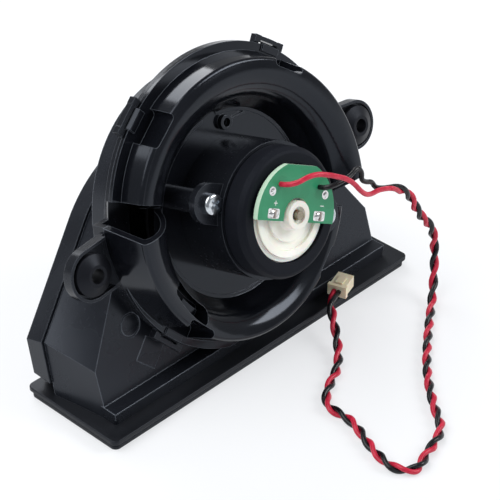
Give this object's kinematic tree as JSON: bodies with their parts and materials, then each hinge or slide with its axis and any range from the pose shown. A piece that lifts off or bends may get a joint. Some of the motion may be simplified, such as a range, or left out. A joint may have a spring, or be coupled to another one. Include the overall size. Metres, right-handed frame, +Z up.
{
  "type": "robot vacuum suction motor",
  "caption": "Suction fan unit of a robot vacuum: a brushed motor in a double volute scroll on a wide duct hood with a sealed mouth, with twisted leads and a plug.",
  "frame": {"origin": "middle of the mouth in the plane of the seal's underside", "axes": "+X along the mouth, +Z up from the mouth into the duct, -Y to the front where the motor stands out; the motor axis leans 16.8 degrees up from -Y"},
  "size_m": [0.1128, 0.1062, 0.082],
  "materials": {
    "duct_plastic": "satin moulded black",
    "back_plastic": "satin moulded black",
    "base_plastic": "satin moulded black",
    "cover_plastic": "semi gloss moulded black",
    "holder_plastic": "satin moulded black",
    "impeller_plastic": "semi gloss",
    "seal_rubber": "matt soft rubber",
    "sleeve_rubber": "matt soft rubber",
    "grommet_rubber": "matt soft rubber",
    "can_steel": "plated",
    "cap_nylon": "satin natural nylon",
    "bush_bronze": "sintered",
    "shaft_steel": "ground",
    "core_iron": "stacked laminations",
    "winding_copper": "enamelled copper",
    "commutator_copper": "turned copper",
    "brush_carbon": "pressed carbon",
    "terminal_brass": "stamped",
    "solder_tin": "bright solder",
    "magnet_ferrite": "sintered ferrite",
    "board_laminate": "green solder mask",
    "screw_zinc": "zinc plated",
    "lead_red_plastic": "soft insulation",
    "lead_black_plastic": "soft insulation",
    "pair_plastic": "red and black insulation twisted",
    "connector_nylon": "natural nylon",
    "contact_tin": "tin plated"
  },
  "bodies": {
    "housing": {"hood_back_shell": "back_plastic", "duct_hood": "duct_plastic", "mouth_seal": "seal_rubber", "scroll_base": "base_plastic", "scroll_cover": "cover_plastic", "motor_holder": "holder_plastic", "holder_screw_left": "screw_zinc", "holder_screw_right": "screw_zinc", "rubber_sleeve": "sleeve_rubber", "motor_can": "can_steel", "motor_end_cap": "cap_nylon", "front_bush": "bush_bronze", "rear_bush": "bush_bronze", "brush_left": "brush_carbon", "brush_right": "brush_carbon", "brush_terminal_left": "terminal_brass", "brush_terminal_right": "terminal_brass", "terminal_solder_left": "solder_tin", "terminal_solder_right": "solder_tin", "board_solder_left": "solder_tin", "board_solder_right": "solder_tin", "grommet_left": "grommet_rubber", "grommet_right": "grommet_rubber", "field_magnet_upper": "magnet_ferrite", "field_magnet_lower": "magnet_ferrite", "circuit_board": "board_laminate", "lead_red": "lead_red_plastic", "lead_black": "lead_black_plastic", "lead_pair": "pair_plastic", "connector_housing": "connector_nylon", "connector_contact_left": "contact_tin", "connector_contact_right": "contact_tin"},
    "rotor": {"motor_shaft": "shaft_steel", "impeller": "impeller_plastic", "armature_core": "core_iron", "armature_windings": "winding_copper", "commutator": "commutator_copper"}
  },
  "joints": [
    {"name": "rotor_spin", "type": "hinge", "parent": "housing", "child": "rotor", "pos_m": [0, -0.0017, 0.0415], "axis": [0, -0.9573, 0.289], "continuous": true}
  ]
}
